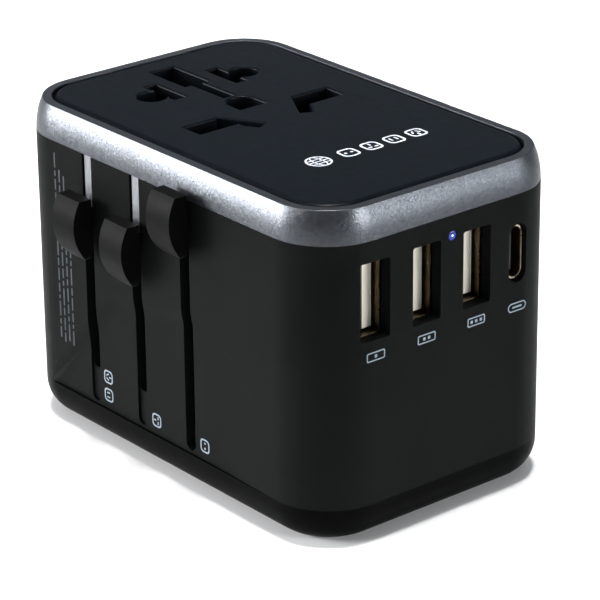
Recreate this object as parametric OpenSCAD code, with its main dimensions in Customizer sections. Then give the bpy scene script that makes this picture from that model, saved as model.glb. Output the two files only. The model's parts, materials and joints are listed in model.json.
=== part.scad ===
// Universal travel adapter: a mains plug with three sliding pin sets (USA/AUS, UK and EU),
// a multi-standard socket on top and a USB charger at one end.
//
// Frame: millimetres, +Z up, +X towards the USB face, the three sliders on the -Y face.
// The origin is the centre of the flat underside, which the adapter rests on.
// All pin sets are drawn retracted.

/* [Body] */
// Length of the body along the slider face
body_l = 78; // [77:0.5:82]
// Width of the body along the USB face
body_w = 50.5; // [50:0.5:54]
// Height of the body, to the top of the socket plate
body_h = 55; // [55:0.5:57]
// Radius of the upright corners
corner_r = 10.5; // [9.5:0.5:12]
// Wall of the outer sleeve
wall = 2; // [1.8:0.1:2.2]
// Height of the base band under the seam
base_h = 6.5; // [6.5:0.5:7]
// Radius of the base's lower edge
base_round = 5.5; // [4.5:0.5:6]
// Height of the trim ring
trim_h = 5.3; // [5:0.1:5.6]

/* [Sliders] */
// Distance between neighbouring sliders
slider_pitch = 12.5; // [12:0.1:12.8]
// Position of the USA/AUS slider along X
us_x = -18.2; // [-18.6:0.1:-18]
// Width of the slots that the sliders run in
slot_w = 2.4; // [2.2:0.1:2.6]
// Width of a slider knob
knob_w = 5.8; // [5.4:0.1:6.2]
// How far a knob stands out from the body
knob_out = 5; // [4.6:0.1:5.4]
// How far a knob is pressed in to free it
press_travel = 1; // [0.8:0.1:1.1]
// Stroke of the USA/AUS pins
us_stroke = 24.5; // [24:0.5:24.5]
// Stroke of the UK pins
uk_stroke = 24; // [23.5:0.5:24]
// Stroke of the EU pins
eu_stroke = 33; // [32:0.5:33]

/* [Pins] */
// Distance between the two USA blades
us_spacing = 12.7; // [12.6:0.1:12.8]
// Distance between the UK live and neutral pins
uk_spacing = 22.2; // [22.1:0.1:22.3]
// Distance from the UK earth pin to the line through the other two
uk_earth_gap = 22.2; // [22.1:0.1:22.4]
// Distance between the two EU pins
eu_spacing = 19; // [18.8:0.1:19.2]
// Thickness of a USA blade
blade_t = 1.5; // [1.4:0.1:1.6]
// Width of a USA blade
blade_w = 6.3; // [6.1:0.1:6.4]
// Diameter of an EU pin
eu_pin_d = 4; // [3.9:0.1:4.1]

/* [USB ports] */
// Distance between neighbouring USB-A ports
port_pitch = 10.16; // [10:0.02:10.3]
// Position of the middle USB-A port along Y
port_y = -4.1; // [-4.3:0.1:-3.9]
// Height of the centre line of the ports
port_z = 39.9; // [39.5:0.1:40.2]
// Position of the USB-C port along Y
port_c_y = 14.6; // [14.4:0.1:14.8]

/* [Hidden] */
$fn = 48;

// Smallest gap between pieces that slide on each other
gap = 0.2;
// Extra length that carries a cut past a face
over = 1;

// Housing levels
front_y = -body_w / 2;
trim_z = body_h - 0.1 - trim_h;
floor_t = 3;
plate_t = 2.8;
plate_inset = 3.1;
trim_flat_inset = 2.7;
trim_arc_r = 12.3;
step_depth = 0.45;
slot_end_z = base_h + 0.5;
short_slot_end_z = 12.7;

// Slider positions along X
uk_x = us_x + slider_pitch;
eu_x = uk_x + slider_pitch;
uk_earth_x = uk_x - uk_earth_gap;

// Heights of the knobs' widest points, with the pins retracted
us_knob_z = 39;
uk_knob_z = 38.3;
eu_knob_z = 46.9;
// Knob shape: a segment of a round bar, cut flat on top
knob_r = 8;
knob_top = 4.4;
knob_gap = press_travel + 0.4;
stem_w = slot_w - 2 * gap;
stem_low = 1;
stem_high = 1.8;
stem_in = 4.6;

// Undersides of the carriages, with the pins retracted and when they rest on the base's floor
deck_gap = 0.2;
us_plate_z = floor_t + deck_gap + us_stroke;
uk_plate_z = floor_t + deck_gap + uk_stroke;
eu_plate_z = floor_t + deck_gap + eu_stroke;
carriage_t = 4.2;
post_y = -15.2;
post_t = 3;
arm_w = 4.6;
arm_low = 2.4;
arm_high = 2.7;

// Lengths of the pins beyond the base when they are out
us_len = 17.5;
uk_len = 17.7;
uk_earth_len = 22.7;
eu_len = 19;
uk_pin_t = 4;
uk_pin_w = 6.35;
uk_earth_w = 8;
hub_r = 2.9;
hub_shaft_r = 2.4;
aus_angle = 30;

// Openings of the socket on top
sock_uk_x = -4.5;
sock_eu_x = -21.6;
sock_us_x = -22.1;
sock_us_earth_x = -10;
sock_au_earth_x = -17.9;
sock_au_x = -2.9;
sock_au_y = 6.6;

// USB charger
port_face_x = body_l / 2 - wall - 0.5;
port_board_x = 22;
board_t = 1.6;
usb_window = [5.6, 12.7];
usb_shell = [5.9, 13.1];
usb_wall = 0.3;
usb_c_window = [3.7, 9.7];
usb_c_shell_size = [3.2, 8.9];
usb_c_face_x = body_l / 2 - 0.9;
port_ys = [port_y - port_pitch, port_y, port_y + port_pitch];
light_y = 1;
light_z = 46.3;
light_r = 0.8;
power_board_z = 8.4;
fuse_x = 26;
fuse_z = 4.3;
fuse_r = 2.5;
fuse_l = 20;
boss_x = body_l / 2 - 8.5;
boss_y = body_w / 2 - 8.5;
screw_r = 1.1;
screw_head_r = 2;
screw_len = 13;

BLACK = [0.14, 0.14, 0.14];
SATIN = [0.1, 0.11, 0.14];
SILVER = [0.76, 0.77, 0.8];
NICKEL = [0.8, 0.79, 0.76];
BRASS = [0.78, 0.63, 0.32];
GREEN = [0.1, 0.32, 0.2];
CREAM = [0.85, 0.82, 0.72];

// ---------------------------------------------------------------- shared shapes

// Rectangle with round corners, centred
module round_rect(l, w, r) {
    square([l - 2 * r, w], center = true);
    square([l, w - 2 * r], center = true);
    for (x = [-1, 1], y = [-1, 1])
        translate([x * (l / 2 - r), y * (w / 2 - r)]) circle(r);
}

// Upright prism with round corners, standing on z
module round_block(l, w, r, z, h) {
    translate([0, 0, z]) linear_extrude(h) round_rect(l, w, r);
}

// Box from its lowest corner to its highest
module box(low, high) {
    translate(low) cube(high - low);
}

// Carries a profile round the edge of a rectangle with round corners. The profile's X is the
// distance from the corner's axis, and its Y is the height.
module round_edge(l, w, r) {
    for (x = [0, 1], y = [0, 1])
        mirror([x, 0, 0]) mirror([0, y, 0])
            translate([l / 2 - r, w / 2 - r, 0]) rotate_extrude(angle = 90) children();
    for (x = [0, 1]) mirror([x, 0, 0])
        translate([l / 2 - r, 0, 0]) rotate([90, 0, 0])
            linear_extrude(w - 2 * r, center = true) children();
    for (y = [0, 1]) mirror([0, y, 0])
        translate([0, w / 2 - r, 0]) rotate([90, 0, 90])
            linear_extrude(l - 2 * r, center = true) children();
}

// Upright slot seen along Y, open at the top, with a round lower end
module slot_shape(w, low, high) {
    translate([0, low + w / 2]) circle(d = w);
    translate([-w / 2, low + w / 2]) square([w, high - low - w / 2]);
}

// Turns a shape drawn in X and Z into a prism from y0 to y1
module along_y(y0, y1) {
    translate([0, y1, 0]) rotate([90, 0, 0]) linear_extrude(y1 - y0) children();
}

// Turns a shape drawn in Y and Z into a prism from x0 to x1
module along_x(x0, x1) {
    translate([x0, 0, 0]) rotate([90, 0, 90]) linear_extrude(x1 - x0) children();
}

// Coil spring along +Z from the origin, as one swept tube with 6 sides
module coil_spring(r, wire_r, len, turns) {
    steps = 14;
    sides = 6;
    rings = turns * steps;
    points = [for (i = [0:rings], s = [0:sides - 1])
        let (a = 360 * i / steps, b = 360 * s / sides, q = r + wire_r * cos(b))
        [q * cos(a), q * sin(a), wire_r + (len - 2 * wire_r) * i / rings + wire_r * sin(b)]];
    walls = [for (i = [0:rings - 1], s = [0:sides - 1], half = [0, 1])
        let (n = (s + 1) % sides, a = i * sides + s, c = (i + 1) * sides + n)
        half == 0 ? [a, a + sides, c] : [a, c, i * sides + n]];
    ends = [[for (s = [0:sides - 1]) s], [for (s = [sides - 1:-1:0]) rings * sides + s]];
    polyhedron(points, concat(walls, ends));
}

// ---------------------------------------------------------------- housing

// Shallow recess in the slider face. Its edge climbs from the lower left, turns over beside the
// USA/AUS slot and then rises gently to the right, where the recess fades out.
step_corner = [-12.2, 26.5];
step_rise = 48.7;
step_slope = 9.2;
step_turn_r = 4;
bank_w = 2.6;
step_fade_x = [9, 28];

// How far the bank lies outside the foot line at a depth under the face
function bank_out(depth) = bank_w * (1 - depth / step_depth);

// Room above the recess's sloping bank, along a straight foot line that starts at p at angle a
module step_bank(p, a, len, deep) {
    translate([p[0], front_y, p[1]]) rotate([0, -a, 0])
        along_x(0, len) polygon([[-over, -3], [deep, -3], [deep, bank_out(deep)], [-over, bank_out(-over)]]);
}

module face_step() {
    turn = step_turn_r;
    deep = step_depth + 0.2;
    out = 90 + (step_rise + step_slope) / 2;
    reach = (turn + bank_w / 2) / cos((step_rise - step_slope) / 2);
    centre = step_corner - reach * [cos(out), sin(out)];
    rise_end = centre + turn * [-sin(step_rise), cos(step_rise)];
    slope_start = centre + turn * [-sin(step_slope), cos(step_slope)];
    rise_len = (rise_end[1] - 3) / sin(step_rise);
    rise_start = rise_end - rise_len * [cos(step_rise), sin(step_rise)];
    slope_end = slope_start + 50 * [cos(step_slope), sin(step_slope)];
    fade_out_x = step_fade_x[1] + (step_fade_x[1] - step_fade_x[0]) * over / step_depth;
    inset = [1.2, -1.6];
    intersection() {
        union() {
            along_y(front_y - over, front_y + deep)
                polygon([rise_start + inset, rise_end + inset, centre, slope_start + inset, slope_end + inset,
                    [slope_end[0] + inset[0], rise_start[1] + inset[1]]]);
            step_bank(rise_start, step_rise, rise_len, deep);
            step_bank(slope_start, step_slope, 50, deep);
            translate([centre[0], front_y + deep, centre[1]]) rotate([90, 0, 0])
                cylinder(h = deep + over, r1 = turn + bank_out(deep), r2 = turn + bank_out(-over));
        }
        // Depth of the recess seen from above: its floor rises out of the face at the second fade mark
        linear_extrude(body_h) polygon([[-body_l, front_y - over / 2], [-body_l, front_y + step_depth],
            [step_fade_x[0], front_y + step_depth], [fade_out_x, front_y - over],
            [fade_out_x - 10, front_y - over]]);
    }
}

module port_windows() {
    for (y = port_ys) translate([y, port_z]) round_rect(usb_window[0], usb_window[1], 0.4);
    translate([port_c_y, port_z]) round_rect(usb_c_window[0], usb_c_window[1], usb_c_window[0] / 2 - 0.01);
    translate([light_y, light_z]) circle(light_r);
}

module outer_sleeve() {
    h = trim_z - base_h;
    color(BLACK) difference() {
        round_block(body_l, body_w, corner_r, base_h, h);
        round_block(body_l - 2 * wall, body_w - 2 * wall, corner_r - wall, base_h - over, h + 2 * over);
        face_step();
        for (x = [us_x, uk_x]) translate([x, 0, 0]) {
            along_y(front_y - over, front_y + wall + over) slot_shape(slot_w, short_slot_end_z, body_h);
            along_y(front_y - over, front_y + 2 * step_depth) slot_shape(slot_w, slot_end_z, body_h);
        }
        translate([eu_x, 0, 0])
            along_y(front_y - over, front_y + wall + over) slot_shape(slot_w, slot_end_z, body_h);
        along_x(body_l / 2 - wall - over, body_l / 2 + over) port_windows();
    }
}

// Quarter of the base's section, from the corner's axis out to its rounded lower edge
module base_profile() {
    straight = corner_r - base_round;
    square([straight, base_h]);
    translate([0, base_round]) square([corner_r, base_h - base_round]);
    intersection() {
        translate([straight, base_round]) circle(base_round);
        translate([straight, 0]) square([base_round, base_round]);
    }
}

// Room that a blade sweeps as it turns between the USA and AUS positions
module blade_sweep(clear) {
    t = blade_t / 2 + clear;
    r = norm([blade_w, blade_t]) / 2 + clear;
    for (a = [0, 180]) rotate(a) intersection() {
        translate([-t, -t]) square(2 * r);
        rotate(aus_angle) translate([-t, t - 2 * r]) square(2 * r);
        circle(r);
    }
}

module pin_openings(clear) {
    for (y = [-1, 1]) {
        translate([us_x, y * us_spacing / 2]) mirror([0, y > 0 ? 1 : 0]) blade_sweep(clear);
        translate([uk_x, y * uk_spacing / 2])
            square([uk_pin_t + 2 * clear, uk_pin_w + 2 * clear], center = true);
        translate([eu_x, y * eu_spacing / 2]) circle(eu_pin_d / 2 + clear);
    }
    translate([uk_earth_x, 0])
        square([uk_earth_w + 2 * clear, uk_pin_t + 2 * clear], center = true);
}

module at_bosses() {
    for (x = [-1, 1], y = [-1, 1]) translate([x * boss_x, y * boss_y, 0]) children();
}

module base_cover() {
    lip = wall + gap;
    color(BLACK) difference() {
        union() {
            difference() {
                union() {
                    round_edge(body_l, body_w, corner_r) base_profile();
                    translate([0, 0, base_h / 2])
                        cube([body_l - 2 * corner_r, body_w - 2 * corner_r, base_h], center = true);
                }
                round_block(body_l - 2 * lip, body_w - 2 * lip, corner_r - lip, floor_t, base_h);
            }
            at_bosses() cylinder(r = 3, h = base_h);
        }
        translate([0, 0, -over]) linear_extrude(floor_t + 2 * over) pin_openings(0.35);
        at_bosses() {
            translate([0, 0, -over]) cylinder(r = screw_head_r + 0.4, h = over + 2);
            cylinder(r = screw_r + 0.2, h = base_h + over);
        }
        fuse_door_shape(0.15, over);
        box([fuse_x - 3.6, -11.5, 0], [fuse_x + 3.6, 11.5, base_h]);
    }
}

module trim_ring() {
    tongue_y = front_y + 0.3;
    color(SILVER) {
        difference() {
            translate([0, 0, trim_z]) round_edge(body_l, body_w, corner_r) {
                intersection() {
                    translate([corner_r - trim_arc_r, 0]) circle(trim_arc_r, $fn = 96);
                    translate([corner_r - trim_flat_inset, 0]) square([trim_flat_inset, trim_h]);
                }
                translate([corner_r - 4.4, 0]) square([4.4 - trim_flat_inset, trim_h - plate_t + 0.1]);
            }
            // Room for the arm of the EU slider
            box([eu_x - arm_w / 2 - gap, front_y + wall, trim_z - over],
                [eu_x + arm_w / 2 + gap, -20, eu_knob_z + arm_high + gap]);
        }
        for (s = [[us_x, us_knob_z], [uk_x, uk_knob_z]])
            box([s[0] - stem_w / 2, tongue_y, s[1] + stem_high + gap],
                [s[0] + stem_w / 2, front_y + wall - 0.1, trim_z]);
    }
}

// The socket's openings seen from above, each grown by g on every side
module socket_openings(g) {
    for (y = [-1, 1]) {
        translate([sock_uk_x, y * uk_spacing / 2]) square([4.3 + 2 * g, 7 + 2 * g], center = true);
        translate([sock_eu_x, y * eu_spacing / 2]) circle(2.45 + g);
        translate([sock_us_x, y * us_spacing / 2]) square([8.1 + 2 * g, 2.3 + 2 * g], center = true);
        translate([sock_au_x, y * sock_au_y]) rotate(-y * aus_angle)
            square([8 + 2 * g, 2.2 + 2 * g], center = true);
    }
    translate([sock_uk_x - uk_earth_gap, 0]) square([9.6 + 2 * g, 4.8 + 2 * g], center = true);
    translate([sock_au_earth_x, 0]) square([8.8 + 2 * g, 2.1 + 2 * g], center = true);
    translate([sock_us_earth_x, 0]) {
        circle(2.65 + g);
        translate([0, -2.65 - g]) square([2.75 + g, 5.3 + 2 * g]);
    }
}

module socket_plate() {
    inset = plate_inset;
    r = corner_r - inset;
    edge = 1;
    z = body_h - plate_t;
    l = body_l - 2 * inset;
    w = body_w - 2 * inset;
    color(SATIN) difference() {
        union() {
            translate([0, 0, z]) round_edge(l, w, r) {
                square([r - edge, plate_t]);
                square([r, plate_t - edge]);
                translate([r - edge, plate_t - edge]) circle(edge);
            }
            translate([0, 0, z + plate_t / 2]) cube([l - 2 * r, w - 2 * r, plate_t], center = true);
        }
        translate([0, 0, z - over]) linear_extrude(plate_t + 2 * over) socket_openings(0);
    }
}

// ---------------------------------------------------------------- fixed inner pieces

barrier_x = 12.4;
barrier_t = 1.2;
holder_x = [-34.5, 2.4];
holder_y = 14.9;
holder_low_z = 33.4;
holder_top_z = 46.6;

module guide_frame() {
    in_x = body_l / 2 - wall - 0.05;
    in_y = body_w / 2 - wall - 0.05;
    rib_out = arm_w / 2 + gap;
    strip_h = 3;
    column_h = screw_len + 0.5;
    color([0.2, 0.2, 0.22]) difference() {
        intersection() {
            round_block(2 * in_x, 2 * in_y, corner_r - wall - 0.05, base_h, body_h);
            union() {
                // Wall between the sliders and the charger
                box([barrier_x, -in_y, base_h], [barrier_x + barrier_t, in_y, trim_z - 0.4]);
                // Ribs that guide the three arms
                for (x = [us_x, uk_x, eu_x], s = [-1, 1])
                    box([x + s * (rib_out + 0.5) - 0.5, -in_y, base_h],
                        [x + s * (rib_out + 0.5) + 0.5, -18.6, 43]);
                // Strips along the two long walls, which tie the frame together
                box([-30.5, -in_y, base_h], [barrier_x, -19.6, base_h + strip_h]);
                box([-34.5, in_y - 1.8, base_h], [barrier_x, in_y, base_h + strip_h]);
                for (y = [0, 1]) mirror([0, y, 0])
                    box([barrier_x, in_y - 1.4, base_h], [boss_x, in_y, base_h + strip_h]);
                // Columns for the screws, with a web to the wall
                at_bosses() translate([0, 0, base_h]) cylinder(r = 3, h = column_h);
                for (x = [-1, 1], y = [0, 1]) mirror([0, y, 0])
                    translate([x * boss_x - 1, boss_y, base_h]) cube([2, in_y - boss_y, x < 0 ? column_h : 1.6]);
                // Shelf along the far wall that carries the contact holder
                box([holder_x[0], holder_y + 2.4, base_h], [holder_x[0] + 2, in_y, holder_top_z]);
                box([barrier_x - 2, holder_y + 2.4, base_h], [barrier_x, in_y, holder_top_z]);
                box([holder_x[0], holder_y + 4.4, holder_low_z - 1.5], [barrier_x, in_y, holder_low_z]);
            }
        }
        at_bosses() translate([0, 0, base_h - over]) cylinder(r = screw_r, h = screw_len - base_h + 2 + over);
    }
}

module contact_holder() {
    x0 = holder_x[0];
    x1 = holder_x[1];
    deck_t = 1.2;
    color([0.88, 0.87, 0.83]) difference() {
        union() {
            box([x0, -holder_y, holder_top_z], [x1, holder_y, holder_top_z + 1.4]);
            box([x0, -holder_y, holder_low_z], [x1, holder_y, holder_low_z + deck_t]);
            // Edge that rests on the frame's shelf
            box([x0, holder_y, holder_low_z], [x1, holder_y + 6, holder_low_z + deck_t]);
            for (x = [x0, -13.4, x1 - deck_t], y = [-1, 1])
                translate([x, y * (holder_y - 0.6) - 0.6, holder_low_z])
                    cube([deck_t, deck_t, holder_top_z - holder_low_z + 1]);
        }
        translate([0, 0, holder_top_z - over]) linear_extrude(3 * over) socket_openings(0.2);
        // The UK earth pin of a plug is long enough to pass the lower deck
        box([sock_uk_x - uk_earth_gap - 4.6, -2.2, holder_low_z - over],
            [sock_uk_x - uk_earth_gap + 4.6, 2.2, holder_low_z + 2 * over]);
        // Room for the frame's post in the corner
        box([x0 - over, holder_y + 2.2, holder_low_z - over], [x0 + 2.2, body_w, holder_low_z + 2 * over]);
    }
}

// Two leaves that grip a pin of width w, with their long side along X
module jaw(x, y, l, w, angle = 0) {
    leaf = 0.5;
    translate([x, y, holder_low_z + 1.2]) rotate(angle)
        for (s = [-1, 1]) translate([-l / 2, s * (w / 2 + leaf / 2) - leaf / 2, 0])
            cube([l, leaf, holder_top_z - holder_low_z - 2]);
}

// Contact bar of one pole, drawn for the +Y side
module pole_contacts() {
    z = holder_low_z + 1.2;
    jaw(sock_us_x, us_spacing / 2, 8, 1.6);
    jaw(sock_eu_x, eu_spacing / 2 + 0.6, 4, 4.2);
    jaw(sock_uk_x + 0.6, uk_spacing / 2, 5.6, 6.6);
    jaw(sock_au_x + 0.6, sock_au_y - 0.6, 5, 1.7, -aus_angle);
    box([sock_us_x - 4, us_spacing / 2 - 1.3, z], [sock_us_x + 4, holder_y - 2.6, z + 0.5]);
    box([sock_us_x + 3, holder_y - 5.6, z], [sock_uk_x + 3.4, holder_y - 2.6, z + 0.5]);
    box([sock_uk_x - 2, holder_y - 3, z], [sock_uk_x + 3.4, holder_y, z + 0.5]);
    box([sock_au_x - 1.5, 3.6, z], [sock_au_x + 3.2, holder_y - 2.6, z + 0.5]);
}

module live_contacts() {
    color(BRASS) mirror([0, 1, 0]) pole_contacts();
}

module neutral_contacts() {
    color(BRASS) pole_contacts();
}

module earth_contacts() {
    z = holder_low_z + 1.2;
    earth_x = sock_uk_x - uk_earth_gap;
    color(BRASS) {
        jaw(earth_x, 0, 9.6, 4.2);
        jaw(sock_au_earth_x, 0, 6, 1.7);
        jaw(sock_us_earth_x, 0, 4, 4.7);
        box([earth_x + 4.7, -2.6, z], [sock_us_earth_x + 2, 2.6, z + 0.5]);
    }
}

// Upright rails that the carriages' wipers slide on
rail_y = 16;
rail_t = 0.6;
rail_low = 5;
module live_rail() {
    color(BRASS) {
        box([us_x + 3, -rail_y - rail_t, rail_low], [uk_x - 3.8, -rail_y, 45]);
        box([uk_x + 3.6, -rail_y - rail_t, rail_low], [eu_x - 3, -rail_y, 45]);
        box([uk_x - 3.8, -rail_y - rail_t, 42], [uk_x + 3.6, -rail_y, 45]);
    }
}

module neutral_rail() {
    color(BRASS) box([us_x - 4, rail_y, rail_low], [eu_x + 3, rail_y + rail_t, holder_low_z - 0.4]);
}

// Springy leaf that runs on a rail, from x0 to x1 on the +Y side; root is where it is fixed
module wiper(x0, x1, root, z) {
    low = z + 0.8;
    high = z + 5;
    box([x0, root, low], [x1, rail_y - 0.1, low + 0.5]);
    box([x0, rail_y - 0.5, low], [x1, rail_y - 0.1, high]);
}

module case_screws() {
    color(NICKEL) at_bosses() difference() {
        union() {
            translate([0, 0, 0.8]) cylinder(r = screw_head_r, h = 1.2);
            translate([0, 0, 2]) cylinder(r = screw_r, h = screw_len);
        }
        for (a = [0, 60, 120]) rotate(a) translate([-0.9, -0.22, 0]) cube([1.8, 0.44, 1.4]);
    }
}

// ---------------------------------------------------------------- fuse

module fuse_door_shape(clear, below) {
    box([fuse_x - 4.4 - clear, -13 - clear, -below], [fuse_x + 4.4 + clear, 13 + clear, 1.4]);
}

module fuse_door() {
    color(BLACK) difference() {
        fuse_door_shape(0, 0);
        // Slot for a coin or a screwdriver
        box([fuse_x - 0.6, 10, -over], [fuse_x + 0.6, 12, 0.8]);
    }
}

module along_fuse() {
    translate([fuse_x, 0, fuse_z]) rotate([90, 0, 0]) children();
}

module fuse_tube() {
    color([0.93, 0.92, 0.88]) along_fuse() cylinder(r = fuse_r - 0.15, h = fuse_l - 0.8, center = true);
}

module fuse_caps() {
    color(NICKEL) for (s = [0, 1]) mirror([0, s, 0]) along_fuse() difference() {
        translate([0, 0, fuse_l / 2 - 5]) cylinder(r = fuse_r, h = 5);
        cylinder(r = fuse_r - 0.15, h = fuse_l / 2 - 0.4);
    }
}

module fuse_clips() {
    side = fuse_r + 0.05;
    color(BRASS) for (y = [-1, 1]) translate([fuse_x, y * (fuse_l / 2 - 2.5), 0]) {
        for (s = [-1, 1]) translate([s * (side + 0.2) - 0.2, -1.5, fuse_z - 1.8])
            cube([0.4, 3, power_board_z - fuse_z + 1.8]);
        translate([-side - 0.4, -1.5, power_board_z - 0.4]) cube([2 * side + 0.8, 3, 0.4]);
    }
}

// ---------------------------------------------------------------- charger

module power_board() {
    color(GREEN) difference() {
        intersection() {
            box([barrier_x + barrier_t + 0.4, -21.5, power_board_z], [36.4, 21.5, power_board_z + board_t]);
            round_block(body_l - 2 * wall - 0.6, body_w - 2 * wall - 0.6, corner_r - wall - 0.3, 0, body_h);
        }
        at_bosses() translate([0, 0, power_board_z - over]) cylinder(r = 3.4, h = 2 * over + board_t);
    }
}

module port_board() {
    color(GREEN) box([port_board_x, -21, power_board_z + board_t], [port_board_x + board_t, 21, 48.4]);
}

core_low = [24.6, -13.2, 10];
core_size = [11, 14, 18];
module transformer_core() {
    color([0.16, 0.16, 0.17]) difference() {
        translate(core_low) cube(core_size);
        translate(core_low + [-over, 2.5, 3]) cube([core_size[0] + 2 * over, 9, 12]);
    }
}

module transformer_winding() {
    centre = core_low + core_size / 2;
    color([0.86, 0.68, 0.2]) difference() {
        translate([centre[0], centre[1], core_low[2] + 3.2]) cylinder(r = 4.3, h = 11.6);
        translate([centre[0], centre[1], 0]) cylinder(r = 1.6, h = body_h);
    }
}

module mains_capacitor() {
    color([0.12, 0.14, 0.2]) translate([29.7, 6.2, power_board_z + board_t]) difference() {
        cylinder(r = 4.6, h = 19);
        translate([0, 0, 18.4]) for (a = [0, 90]) rotate(a) translate([-4, -0.2, 0]) cube([8, 0.4, over]);
    }
}

module output_capacitors() {
    color([0.1, 0.1, 0.12]) for (p = [[17.8, 4], [17.8, -4.4]])
        translate([p[0], p[1], power_board_z + board_t]) cylinder(r = 3.2, h = 12);
}

module choke() {
    color([0.75, 0.45, 0.2]) translate([17.9, 13.4, power_board_z + board_t + 5.2]) rotate([0, 90, 0])
        rotate_extrude() translate([3.4, 0]) circle(1.7);
}

module heat_sink() {
    z = power_board_z + board_t;
    color(SILVER) {
        box([14.6, -17.6, z], [15.6, -9.6, z + 15]);
        for (i = [0:4]) translate([15.5, -17.6 + i * 1.8, z + 1]) cube([4.6, 0.8, 14]);
    }
}

module control_chips() {
    color([0.12, 0.12, 0.13]) {
        box([port_board_x + board_t, -13, 24], [port_board_x + board_t + 1, -9.6, 29]);
        box([port_board_x + board_t, 9, 24], [port_board_x + board_t + 1, 13, 28]);
        box([24, -20, power_board_z + board_t], [27.2, -15, power_board_z + board_t + 1.4]);
    }
}

module usb_a_shell(y) {
    color(NICKEL) translate([0, y, port_z]) difference() {
        along_x(port_board_x + board_t, port_face_x) square(usb_shell, center = true);
        along_x(port_board_x + board_t + 0.4, port_face_x + over)
            square(usb_shell - 2 * [usb_wall, usb_wall], center = true);
    }
}

module usb_a_tongue(y) {
    color(CREAM) translate([0, y + 1.3, port_z])
        along_x(port_board_x + board_t + 0.4, port_face_x - 1.2) square([1.8, 11.6], center = true);
}

module usb_a_shell_1() usb_a_shell(port_ys[0]);
module usb_a_shell_2() usb_a_shell(port_ys[1]);
module usb_a_shell_3() usb_a_shell(port_ys[2]);
module usb_a_tongue_1() usb_a_tongue(port_ys[0]);
module usb_a_tongue_2() usb_a_tongue(port_ys[1]);
module usb_a_tongue_3() usb_a_tongue(port_ys[2]);

module usb_c_shell() {
    w = usb_c_shell_size[0];
    h = usb_c_shell_size[1];
    t = usb_wall;
    color(NICKEL) translate([0, port_c_y, port_z]) difference() {
        along_x(port_board_x + board_t, usb_c_face_x) round_rect(w, h, w / 2 - 0.01);
        along_x(port_board_x + board_t + 0.4, usb_c_face_x + over)
            round_rect(w - 2 * t, h - 2 * t, w / 2 - t - 0.01);
    }
}

module usb_c_tongue() {
    color([0.2, 0.22, 0.25]) translate([0, port_c_y, port_z])
        along_x(port_board_x + board_t + 0.4, usb_c_face_x - 1.1) square([0.7, 6.7], center = true);
}

module light_pipe() {
    color([0.75, 0.85, 1]) translate([0, light_y, light_z])
        along_x(port_board_x + board_t + 0.8, body_l / 2 - 0.1) circle(light_r - 0.05);
}

module led_chip() {
    color([0.3, 0.5, 1]) translate([0, light_y, light_z])
        along_x(port_board_x + board_t, port_board_x + board_t + 0.8) square([1.6, 1.6], center = true);
}

// ---------------------------------------------------------------- safety shutter

shutter_z = holder_top_z + 1.6;
shutter_t = 1.2;
shutter_stroke = 9.5;
shutter_x = [-36, 1];
module safety_shutter() {
    color([0.3, 0.3, 0.32]) difference() {
        box([shutter_x[0], -14.6, shutter_z], [shutter_x[1], 14.6, shutter_z + shutter_t]);
        translate([-shutter_stroke, 0, shutter_z - over]) linear_extrude(3 * over) socket_openings(0.3);
        // The earth openings stay clear over the whole stroke
        box([-32.4, -2.9, shutter_z - over], [-6.5, 2.9, shutter_z + 2 * over]);
    }
}

module shutter_spring() {
    color(NICKEL) translate([shutter_x[1] + 0.1, 8, shutter_z + shutter_t / 2]) rotate([0, 90, 0])
        coil_spring(0.6, 0.15, barrier_x - shutter_x[1] - 0.2, 9);
}

// ---------------------------------------------------------------- sliders

// Knob: a round-backed pad with rounded lower corners, on a stem that runs in the slot
module knob(x, z) {
    pad_r = 2.2;
    low = 6.4;
    color(BLACK) translate([x, front_y, z]) {
        intersection() {
            along_x(-knob_w / 2, knob_w / 2) translate([knob_r - knob_out, 0]) circle(knob_r, $fn = 96);
            along_y(-knob_out - over, -knob_gap) {
                translate([-knob_w / 2, pad_r - low]) square([knob_w, knob_top + low - pad_r]);
                translate([pad_r - knob_w / 2, -low]) square([knob_w - 2 * pad_r, low]);
                for (s = [-1, 1]) translate([s * (knob_w / 2 - pad_r), pad_r - low]) circle(pad_r);
            }
        }
        box([-stem_w / 2, -knob_gap - 0.1, -stem_low], [stem_w / 2, stem_in, stem_high]);
    }
}

// Post and arm that carry a knob's stem, on the carriage's -Y side
module knob_arm(x, z, plate_z) {
    arm_y = front_y + wall + gap;
    difference() {
        union() {
            box([x - 2, post_y - post_t, plate_z], [x + 2, post_y, z - arm_low + 0.1]);
            box([x - arm_w / 2, arm_y, z - arm_low], [x + arm_w / 2, post_y, z + arm_high]);
        }
        box([x - stem_w / 2 - 0.15, arm_y - over, z - stem_low - 0.15],
            [x + stem_w / 2 + 0.15, post_y - post_t + 0.6, z + stem_high + 0.15]);
    }
}

module knob_spring(x, z) {
    start = front_y + stem_in + 0.05;
    color(NICKEL) translate([x, start, z + (stem_high - stem_low) / 2]) rotate([-90, 0, 0])
        coil_spring(0.75, 0.15, post_y - post_t + 0.55 - start, 4);
}

module us_knob() knob(us_x, us_knob_z);
module uk_knob() knob(uk_x, uk_knob_z);
module eu_knob() knob(eu_x, eu_knob_z);
module us_knob_spring() knob_spring(us_x, us_knob_z);
module uk_knob_spring() knob_spring(uk_x, uk_knob_z);
module eu_knob_spring() knob_spring(eu_x, eu_knob_z);

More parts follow.
